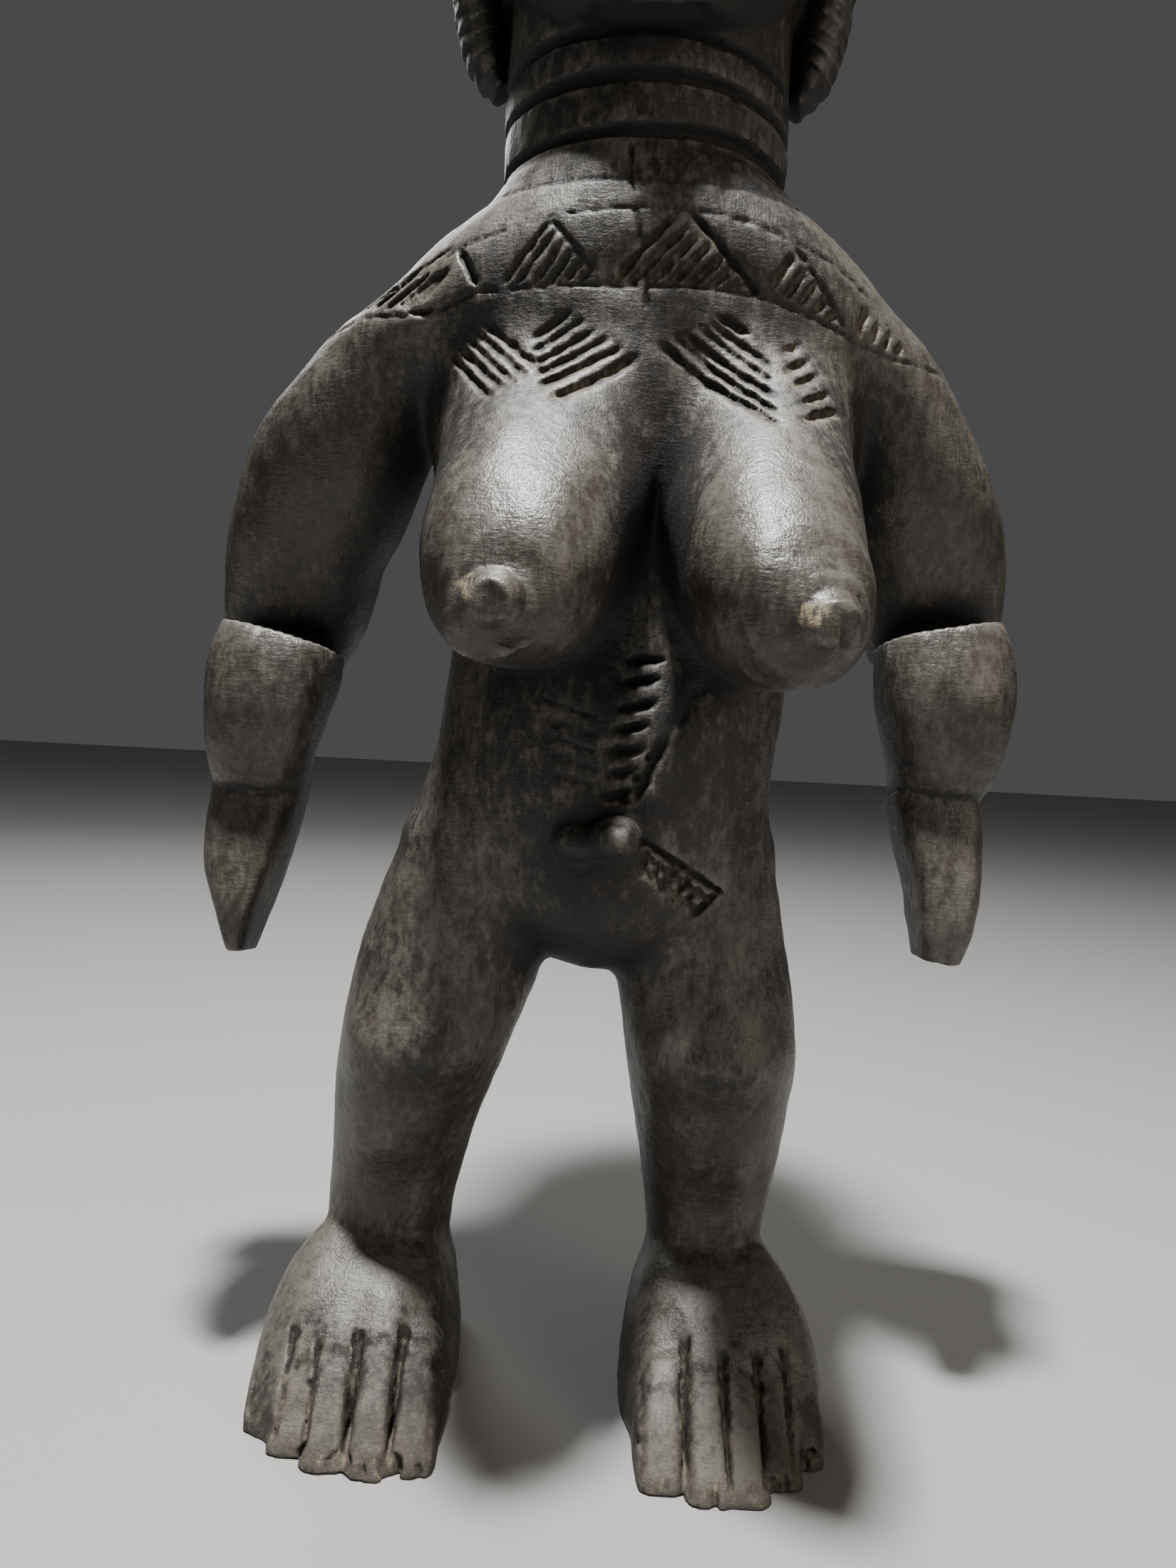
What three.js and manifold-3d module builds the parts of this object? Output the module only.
// A carved wooden female figure, cut with adze and knife from one billet of dark hardwood.
// It stands on its own broad feet, with drooping breasts, a thick ringed neck, a band of
// hatched triangles round the shoulders and chevrons on the chest and belly.
// Millimetres, +Z up. The figure looks along -Y, and +X is on the viewer's right. Sizes are
// given about the neck's axis; at the end the figure is moved over the middle of its box.

import * as THREE from 'three';
import { mergeVertices } from 'three/addons/utils/BufferGeometryUtils.js';
import Module from 'manifold-3d';

const wasm = await Module();
wasm.setup();

// Upright and limb forms are rows of x, y, z, half width, half depth, read from end to end.
const PELVIS_AND_CHEST = [
  [-4, 2, 132, 14, 15],
  [-5.5, 2, 139.5, 31, 27],
  [-6.5, 3, 150, 47, 37],
  [-6.5, 2, 163, 56, 40.5],
  [-5, -2, 176, 53, 40],
  [-3, -7, 191, 50, 36.5],
  [-1, -9, 206, 49.5, 33.5],
  [0.5, -7, 223, 50, 32],
  [2, -4, 246, 54, 34],
  [3, -4, 270, 60, 40],
  [3, -4.5, 290, 64, 41.5],
  [2.5, -4, 303, 66, 41],
  [2, -2.5, 314, 62, 41.5],
  [2, 0, 324, 46, 36],
];
const SHOULDERS = [
  [0, 1, 291, 77, 25],
  [0, 1, 297, 90.5, 33],
  [0, 0.5, 304, 95, 37],
  [0.5, 0, 311, 90, 41.5],
  [1, -1, 318, 82, 43.5],
  [1.5, -1.5, 327, 72, 45],
  [2, -1, 335, 63.5, 45.5],
  [2, -0.5, 341, 55.5, 45],
  [1.5, 0, 346, 49, 44.5],
  [0, 0, 355, 42, 42],
];
const BREASTS = {
  left: [
    [-21.5, -14, 284, 31, 30],
    [-23, -33, 264, 30, 30.5],
    [-26, -52, 247, 27.5, 28.5],
    [-28, -67, 236, 25, 24.5],
    [-29.5, -79, 230, 19.5, 18.5],
    [-30.5, -87.5, 227, 11, 10.5],
    [-31, -93, 226, 4.5, 4.5],
  ],
  right: [
    [34.5, -14, 284, 28, 30],
    [35, -35, 262, 27, 30.5],
    [36, -54, 245, 25, 29],
    [37.5, -70, 234, 23, 25],
    [40.5, -84, 227.5, 19, 18.5],
    [43.5, -93, 225.5, 11, 10.5],
    [44.5, -98.5, 224.5, 4.5, 4.5],
  ],
};
const UPPER_ARMS = {
  left: [
    [-52, 0, 315, 15, 22],
    [-72, 1, 300.5, 20, 25],
    [-86, 4, 280, 25, 24],
    [-93, 8, 266, 26, 22],
    [-98.5, 12, 252, 24.5, 20],
    [-101.5, 16, 240, 23.5, 18],
    [-104, 20, 226, 21.5, 16],
    [-104, 18, 214, 16, 12],
  ],
  right: [
    [54, 0, 318, 15, 22],
    [76, 1, 303, 19.5, 25],
    [86.5, 4, 282, 22, 24],
    [92.5, 8, 266, 24, 22],
    [96, 12, 252, 24, 20],
    [97.8, 17, 238, 22, 17],
    [98, 18, 224, 17, 13],
  ],
};
const FOREARMS = {
  left: [
    [-101, -3, 221, 18, 17],
    [-103, -4, 212, 19, 19],
    [-104.5, -5, 200, 17.5, 19.5],
    [-106, -3, 188, 15.7, 17],
    [-106.5, 2, 176, 13.5, 11.5],
    [-107, 2, 168, 11, 9],
  ],
  right: [
    [95.5, -3, 232, 18.5, 17],
    [97.5, -4, 222, 20, 19],
    [98.5, -5, 210, 19.5, 19.5],
    [99, -3, 197, 17, 17],
    [98.5, 2, 184, 13, 11.5],
    [98.5, 2, 176, 11, 9],
  ],
};
const HANDS = {
  left: [
    [-107, 1, 176.5, 13.5, 12.5],
    [-108.5, -1.5, 163, 12.5, 14.5],
    [-109, -3.5, 151, 10.5, 15],
    [-108.5, -5, 139, 6.5, 15],
    [-108, -5, 128, 3, 11],
  ],
  right: [
    [97.5, 1, 184.5, 13.5, 12.5],
    [99.5, -1.5, 171, 12, 14.5],
    [100.5, -3.5, 158, 10.3, 15],
    [100, -4, 146, 8.5, 14],
    [99, -3, 135.5, 6, 11],
  ],
};
const LEGS = {
  left: [
    [-31, 3, 172, 17, 22],
    [-34.5, 4, 164, 25.5, 32],
    [-38, 5, 155, 28.5, 35],
    [-44, 4, 138, 28, 33],
    [-48, 0, 121, 27.5, 31],
    [-52, -5, 105, 25.5, 31],
    [-55.5, 0, 90, 24, 28],
    [-58.5, 4, 74, 21.5, 26],
    [-61, 7, 59, 20, 22],
    [-62.5, 7, 46, 19, 20],
    [-63, 7, 30, 18, 18],
  ],
  right: [
    [21, 3, 172, 18, 22],
    [22.5, 4, 164, 26, 32],
    [24, 5, 155, 28, 35],
    [27.5, 4, 138, 27.5, 33],
    [31.5, 0, 121, 26.5, 31],
    [33.5, -5, 105, 25.5, 31],
    [35, 0, 90, 24, 28],
    [36, 4, 74, 22, 26],
    [36.3, 7, 59, 20, 22],
    [36, 7, 46, 18, 20],
    [36, 7, 30, 17, 18],
  ],
};

// A foot and its toes lie on the floor: rows of x, y, half width, height, heel to tip.
const FEET = {
  left: [
    [-61, 35, 13, 22],
    [-61.5, 29, 19, 38],
    [-62.5, 14, 22, 46],
    [-64, -4, 25.5, 48],
    [-66, -18, 26.5, 42],
    [-66, -32, 26.5, 31],
    [-66, -46, 22, 14],
  ],
  right: [
    [35, 35, 13, 22],
    [35.5, 29, 18.5, 38],
    [36.5, 14, 21.5, 46],
    [38.5, -4, 25, 47],
    [40.5, -18, 27, 42],
    [42, -32, 27, 31],
    [42, -47, 22, 14],
  ],
};
const FOOT_ROUNDNESS = 2.8;

// Toes, big one on the inner side: the x of root and tip, the y of the tip, the root's height.
const TOES = {
  left: [
    [-86, -86.5, -44, 20],
    [-79, -78, -54, 28],
    [-71.5, -67.5, -60, 31.5],
    [-57.5, -56, -62, 32],
    [-46, -45.5, -60, 28],
  ],
  right: [
    [22.5, 21.5, -62, 28],
    [33.5, 34, -66, 32],
    [43, 44, -65, 31.5],
    [52.5, 53.5, -58, 28],
    [58.5, 60.5, -48, 20],
  ],
};
const TOE_ROOT_Y = -28;
const TOE_HALF_WIDTH = 6.8;
const TOE_TIP_HEIGHT = 5;
// How far along a toe each of its sections stands, and how much narrower it is there.
const TOE_SECTIONS = [[0, 1], [0.45, 0], [0.88, 0.8], [1, 2.8]];
const TOE_ARCH = 0.3;

// The ringed neck, and the head, of which only the chin and hair ends set the size.
const NECK_RADIUS = 42;
const NECK_FOOT = 336;
const NECK_TOP = 410;
const NECK_GROOVES = [358, 371.5, 384];
const NECK_GROOVE_HALF_HEIGHT = 2.2;
const NECK_GROOVE_DEPTH = 2.6;
const NECK_CLEARANCE = 4;
const FACE = [
  [0, -50, 381.5, 6, 4],
  [0, -42, 386, 19, 13],
  [0, -32, 393, 29, 24],
  [0, -19, 405, 39, 37],
  [0, -10, 420, 45, 46],
  [0, -6, 440, 49, 51],
  [0, -3, 460, 49, 54],
  [0, -1, 480, 43, 51],
  [0, 2, 496, 24, 30],
];
const HAIR_CAP = [
  [0, 22, 392, 34, 26],
  [0, 20, 402, 46, 34],
  [0, 17, 418, 52, 42],
  [0, 13, 438, 55, 48],
  [0, 8, 458, 55.5, 52],
  [0, 3, 474, 53, 56],
  [0, 2, 488, 46, 51],
  [0, 3, 500, 32, 36],
  [0, 4, 507, 12, 14],
];
const HAIR_ROWS = 12;
const HAIR_ROW_DEPTH = 1.6;
const CREST = [
  [0, -50, 478, 6, 6],
  [0, -41, 495, 8.5, 11],
  [0, -18, 509, 9.5, 13],
  [0, 10, 512, 9.5, 13],
  [0, 36, 500, 9.5, 12],
  [0, 53, 476, 9, 11],
  [0, 56, 448, 8, 9],
  [0, 52, 426, 5, 5],
];
const LAPPET = [
  [44, 5, 389, 4, 9],
  [48, 4, 396, 7, 12.5],
  [51.5, 3, 412, 8.5, 13.5],
  [52.5, 2, 432, 9, 14],
  [50, 2, 456, 8, 13],
  [45, 2, 472, 5, 9],
];
const BRAID_RELIEF = 1.1;
const NOSE = [
  [0, -53, 452, 4, 4],
  [0, -58, 439, 5, 6],
  [0, -63, 426, 8, 8],
  [0, -60, 417, 10, 7],
  [0, -55, 413, 7, 5],
];
const EYE = { x: 18.5, y: -48.5, z: 439, size: [10.5, 6, 5.2] };
const LIPS = [{ z: 402, size: [12.5, 7, 3.2] }, { z: 395.5, size: [10.5, 7, 3.4] }];
const LIPS_Y = -54;
const EAR = { x: 50.5, y: -15, z: 437, size: [6, 7, 14] };
const NAVEL = { at: [-3.5, -46, 170.5], size: [10.5, 14, 6.5] };
const PUBIS = { at: [1, -8, 155], size: [30, 32.5, 25] };
const BUTTOCK = { x: [-34, 20], y: 22, z: 152, size: [28, 29, 25] };

// Knife strokes fill four-cornered fields seen from the front: the ends x, z of the first
// stroke, the ends of the last one, and how many there are.
const CHEST_AND_BELLY = [
  { first: [[-43, 308], [-25, 294]], last: [[-49, 295], [-35, 279]], strokes: 4 },
  { first: [[-27, 300], [-15, 309]], last: [[-33, 279], [0, 296]], strokes: 5 },
  { first: [[6, 301], [37, 280]], last: [[22, 310], [37, 298]], strokes: 5 },
  { first: [[39, 300], [44, 306]], last: [[42, 280], [54, 288]], strokes: 4 },
  { first: [[1, 218], [10, 220.5]], last: [[-2.5, 187.5], [7.5, 190.5]], strokes: 7 },
  { first: [[-18, 210], [-4, 206]], last: [[-14, 195], [-4, 189]], strokes: 3 },
  { first: [[4.5, 163], [10, 169]], last: [[22.5, 147.5], [29.5, 156.5]], strokes: 5 },
];
const COLLAR_TRIANGLES = [
  { first: [[-79, 318.5], [-59, 333]], last: [[-56, 319], [-50, 325]], strokes: 4 },
  { first: [[-35, 317.5], [-25, 333]], last: [[-14, 317.5], [-12, 321]], strokes: 5 },
  { first: [[-8, 317.5], [9, 335]], last: [[24, 318], [28, 321]], strokes: 5 },
  { first: [[36, 319.5], [42, 330]], last: [[53, 316.5], [56, 319]], strokes: 4 },
  { first: [[64, 317], [67, 326]], last: [[76, 314], [78, 317]], strokes: 3 },
];
const BACK_TRIANGLES = COLLAR_TRIANGLES.slice(1, 4).map((field) => ({ ...field, strokes: 4 }));
const STROKE_WIDTH = 2;
const STROKE_DEPTH = 1.7;
const DEEP_LINES = [
  [[12, 335], [31, 317.5]],
  [[-54, 334], [-46, 319]],
];

// How many sides each form's sections have.
const SIDES = {
  trunk: 24, breast: 14, swelling: 12, arm: 12, hand: 10, leg: 12, foot: 10, toe: 5,
  face: 20, plait: 6, nose: 6, feature: 8,
};
const ROUNDNESS = 2.25;
const FAR_OFF = 300;
const MERGE_WITHIN = 1e-4;
const X_AXIS = new THREE.Vector3(1, 0, 0);
const Z_AXIS = new THREE.Vector3(0, 0, 1);

// A value between two neighbours of a row of numbers, on a smooth curve through them all.
function smooth(before, from, to, after, t) {
  const rise = (to - before) / 2;
  const fall = (after - from) / 2;
  const t2 = t * t;
  const t3 = t2 * t;
  return (2 * t3 - 3 * t2 + 1) * from + (t3 - 2 * t2 + t) * rise
    + (3 * t2 - 2 * t3) * to + (t3 - t2) * fall;
}

// The rows, with smoothly curved ones added between each two of them.
function refine(rows, perSpan) {
  const row = (i) => rows[Math.min(Math.max(i, 0), rows.length - 1)];
  const fine = [];
  for (let i = 0; i < rows.length - 1; i += 1) {
    for (let k = 0; k < perSpan; k += 1) {
      const t = k / perSpan;
      fine.push(rows[i].map((from, n) => smooth(row(i - 1)[n], from, row(i + 1)[n], row(i + 2)[n], t)));
    }
  }
  fine.push(rows[rows.length - 1]);
  return fine;
}

// The sine or cosine of a rounded box rather than of a circle.
function squared(wave, roundness = ROUNDNESS) {
  return Math.sign(wave) * Math.abs(wave) ** (2 / roundness);
}

// A closed mesh over a list of rings with the same number of points, its ends filled in.
function skin(rings) {
  const count = rings[0].length;
  const corners = rings.flat();
  const faces = [];
  for (let i = 0; i < rings.length - 1; i += 1) {
    for (let j = 0; j < count; j += 1) {
      const a = i * count + j;
      const b = i * count + ((j + 1) % count);
      faces.push([a, b, b + count], [a, b + count, a + count]);
    }
  }
  const middle = (ring) => ring.reduce((sum, p) => sum.add(p), new THREE.Vector3()).divideScalar(count);
  const start = corners.push(middle(rings[0])) - 1;
  const end = corners.push(middle(rings[rings.length - 1])) - 1;
  const last = (rings.length - 1) * count;
  for (let j = 0; j < count; j += 1) {
    const next = (j + 1) % count;
    faces.push([start, next, j], [end, last + j, last + next]);
  }
  const geometry = new THREE.BufferGeometry().setFromPoints(corners);
  geometry.setIndex(faces.flat());
  return geometry;
}

// The direction of a path at one of its points.
function heading(points, i) {
  const ahead = points[Math.min(i + 1, points.length - 1)];
  const behind = points[Math.max(i - 1, 0)];
  return ahead.clone().sub(behind).normalize();
}

// A body that follows rows of x, y, z, half width, half depth. Its sections stand square to
// its own path, or all lie level.
function loft(rows, sides, { perSpan = 1, level = false, relief = () => 0 } = {}) {
  const fine = refine(rows, perSpan);
  const centres = fine.map(([x, y, z]) => new THREE.Vector3(x, y, z));
  const rings = fine.map(([, , , halfWidth, halfDepth], i) => {
    const along = level ? Z_AXIS : heading(centres, i);
    const across = X_AXIS.clone().addScaledVector(along, -X_AXIS.dot(along)).normalize();
    const deep = along.clone().cross(across);
    const ring = [];
    for (let j = 0; j < sides; j += 1) {
      const turn = (2 * Math.PI * j) / sides;
      const proud = relief(i, j);
      ring.push(centres[i].clone()
        .addScaledVector(across, (halfWidth + proud) * squared(Math.cos(turn)))
        .addScaledVector(deep, (halfDepth + proud) * squared(Math.sin(turn))));
    }
    return ring;
  });
  return skin(rings);
}

// A body that lies on the floor with a flat sole, along rows of x, y, half width, height.
function floorLoft(rows, sides) {
  const centres = rows.map(([x, y]) => new THREE.Vector3(x, y, 0));
  const rings = rows.map(([, , halfWidth, height], i) => {
    const across = Z_AXIS.clone().cross(heading(centres, i));
    const ring = [];
    for (let j = 0; j <= sides; j += 1) {
      const turn = (Math.PI * j) / sides;
      ring.push(centres[i].clone()
        .addScaledVector(across, halfWidth * squared(Math.cos(turn), FOOT_ROUNDNESS))
        .addScaledVector(Z_AXIS, height * squared(Math.abs(Math.sin(turn)), FOOT_ROUNDNESS)));
    }
    return ring;
  });
  return skin(rings);
}

// A squashed ball of three half sizes at a place.
function lump(at, size, sides) {
  return new THREE.SphereGeometry(1, sides, sides / 2).scale(...size).translate(...at);
}

// The solid of a closed geometry.
function solidOf(geometry) {
  const shape = geometry.clone();
  shape.deleteAttribute('normal');
  shape.deleteAttribute('uv');
  const merged = mergeVertices(shape, MERGE_WITHIN);
  return new wasm.Manifold(new wasm.Mesh({
    numProp: 3,
    vertProperties: new Float32Array(merged.attributes.position.array),
    triVerts: new Uint32Array(merged.index.array),
  }));
}

// The geometry of a solid.
function geometryOf(solid) {
  const { vertProperties, triVerts } = solid.getMesh();
  const geometry = new THREE.BufferGeometry();
  geometry.setAttribute('position', new THREE.BufferAttribute(vertProperties, 3));
  geometry.setIndex(new THREE.BufferAttribute(triVerts, 1));
  return geometry;
}

// One solid from many geometries that overlap.
function joined(geometries) {
  return geometries.map(solidOf).reduce((all, one) => all.add(one));
}

// Where a line of sight along Y first meets the figure, and the way that the surface faces.
function surfaceAt(mesh, x, z, side) {
  const eye = new THREE.Vector3(x, side * FAR_OFF, z);
  const sight = new THREE.Raycaster(eye, new THREE.Vector3(0, -side, 0));
  const hit = sight.intersectObject(mesh)[0];
  return hit && { point: hit.point, normal: hit.face.normal };
}

// A V-shaped cutter from one point of the surface to another, tapering at both ends.
function stroke(mesh, [from, to], side, width, depth) {
  const a = surfaceAt(mesh, ...from, side);
  const b = surfaceAt(mesh, ...to, side);
  const out = a.normal.clone().add(b.normal).normalize();
  const along = b.point.clone().sub(a.point).normalize();
  const beside = along.clone().cross(out).normalize().multiplyScalar(width);
  const top = [a.point, b.point].map((p) => p.clone().addScaledVector(out, depth));
  const floor = [a.point, b.point].map((p, i) => p.clone()
    .addScaledVector(out, -depth)
    .addScaledVector(along, (i === 0 ? 1 : -1) * depth));
  return skin(top.map((p, i) => [p.clone().add(beside), floor[i], p.clone().sub(beside)]));
}

// Parallel strokes spread evenly over a four-cornered field.
function hatch(mesh, field, side, mirror = 1) {
  const cutters = [];
  for (let k = 0; k < field.strokes; k += 1) {
    const t = k / (field.strokes - 1);
    const ends = [0, 1].map((n) => {
      const [x0, z0] = field.first[n];
      const [x1, z1] = field.last[n];
      return [mirror * (x0 + (x1 - x0) * t), z0 + (z1 - z0) * t];
    });
    cutters.push(stroke(mesh, ends, side, STROKE_WIDTH, STROKE_DEPTH));
  }
  return cutters;
}

// A ring-shaped cutter for a groove round the neck.
function neckGroove(z) {
  const outside = NECK_RADIUS + NECK_CLEARANCE;
  const flare = NECK_GROOVE_HALF_HEIGHT * (1 + NECK_CLEARANCE / NECK_GROOVE_DEPTH);
  const profile = [
    new THREE.Vector2(outside, -flare),
    new THREE.Vector2(outside, flare),
    new THREE.Vector2(NECK_RADIUS - NECK_GROOVE_DEPTH, 0),
    new THREE.Vector2(outside, -flare),
  ];
  return new THREE.LatheGeometry(profile, SIDES.trunk).rotateX(Math.PI / 2).translate(0, 0, z);
}

function trunk() {
  const neck = new THREE.CylinderGeometry(NECK_RADIUS, NECK_RADIUS, NECK_TOP - NECK_FOOT, SIDES.trunk)
    .rotateX(Math.PI / 2)
    .translate(0, 0, (NECK_TOP + NECK_FOOT) / 2);
  return [
    loft(PELVIS_AND_CHEST, SIDES.trunk, { level: true }),
    loft(SHOULDERS, SIDES.trunk, { level: true }),
    neck,
    loft(BREASTS.left, SIDES.breast),
    loft(BREASTS.right, SIDES.breast),
    lump(NAVEL.at, NAVEL.size, SIDES.feature),
    lump(PUBIS.at, PUBIS.size, SIDES.swelling),
    ...BUTTOCK.x.map((x) => lump([x, BUTTOCK.y, BUTTOCK.z], BUTTOCK.size, SIDES.swelling)),
  ];
}

function arm(side) {
  return [
    loft(UPPER_ARMS[side], SIDES.arm),
    loft(FOREARMS[side], SIDES.arm),
    loft(HANDS[side], SIDES.hand),
  ];
}

// One toe, sloping in a shallow arch from the instep down to a blunt end on the floor.
function toe([rootX, tipX, tipY, rootHeight]) {
  return floorLoft(TOE_SECTIONS.map(([t, narrower]) => [
    rootX + (tipX - rootX) * t,
    TOE_ROOT_Y + (tipY - TOE_ROOT_Y) * t,
    TOE_HALF_WIDTH - narrower,
    rootHeight + (TOE_TIP_HEIGHT - rootHeight) * t * (1 - TOE_ARCH * (1 - t)),
  ]), SIDES.toe);
}

function leg(side) {
  return [
    loft(LEGS[side], SIDES.leg),
    floorLoft(FEET[side], SIDES.foot),
    ...TOES[side].map(toe),
  ];
}

// A flat plait beside the neck, ridged across by its turns.
function lappet(sign) {
  const rows = LAPPET.map(([x, ...rest]) => [sign * x, ...rest]);
  const ridges = (i) => (i % 2 ? BRAID_RELIEF : 0);
  return loft(rows, SIDES.plait, { perSpan: 3, relief: ridges });
}

function head() {
  const furrows = (i, j) => (j % 2 ? 0 : -HAIR_ROW_DEPTH);
  const ridges = (i) => (i % 2 ? BRAID_RELIEF : 0);
  const pair = [-1, 1];
  return [
    loft(FACE, SIDES.face, { level: true }),
    loft(HAIR_CAP, HAIR_ROWS * 2, { level: true, relief: furrows }),
    loft(CREST, SIDES.plait, { perSpan: 2, relief: ridges }),
    loft(NOSE, SIDES.nose),
    ...LIPS.map(({ z, size }) => lump([0, LIPS_Y, z], size, SIDES.feature)),
    ...pair.map((sign) => lump([sign * EYE.x, EYE.y, EYE.z], EYE.size, SIDES.feature)),
    ...pair.map((sign) => lump([sign * EAR.x, EAR.y, EAR.z], EAR.size, SIDES.feature)),
    ...pair.map(lappet),
  ];
}

// The knife work, cut last: strokes on the front, the same band of triangles on the back.
function carvedMarks(mesh) {
  return [
    ...NECK_GROOVES.map(neckGroove),
    ...CHEST_AND_BELLY.flatMap((field) => hatch(mesh, field, -1)),
    ...COLLAR_TRIANGLES.flatMap((field) => hatch(mesh, field, -1)),
    ...BACK_TRIANGLES.flatMap((field) => hatch(mesh, field, 1, -1)),
    ...DEEP_LINES.map((line) => stroke(mesh, line, -1, STROKE_WIDTH, STROKE_DEPTH)),
  ];
}

const rough = joined([
  ...trunk(), ...arm('left'), ...arm('right'), ...leg('left'), ...leg('right'), ...head(),
]);
const uncut = new THREE.Mesh(geometryOf(rough));
const carved = rough.subtract(joined(carvedMarks(uncut)));
const shape = geometryOf(carved);
shape.computeBoundingBox();
const { min, max } = shape.boundingBox;
shape.translate(-(min.x + max.x) / 2, -(min.y + max.y) / 2, -min.z);
shape.computeVertexNormals();

const wood = new THREE.MeshStandardMaterial({ color: 0x4a433b, roughness: 0.5, metalness: 0 });
const figure = new THREE.Mesh(shape, wood);
figure.name = 'figure';

const group = new THREE.Group();
group.add(figure);
export default group;
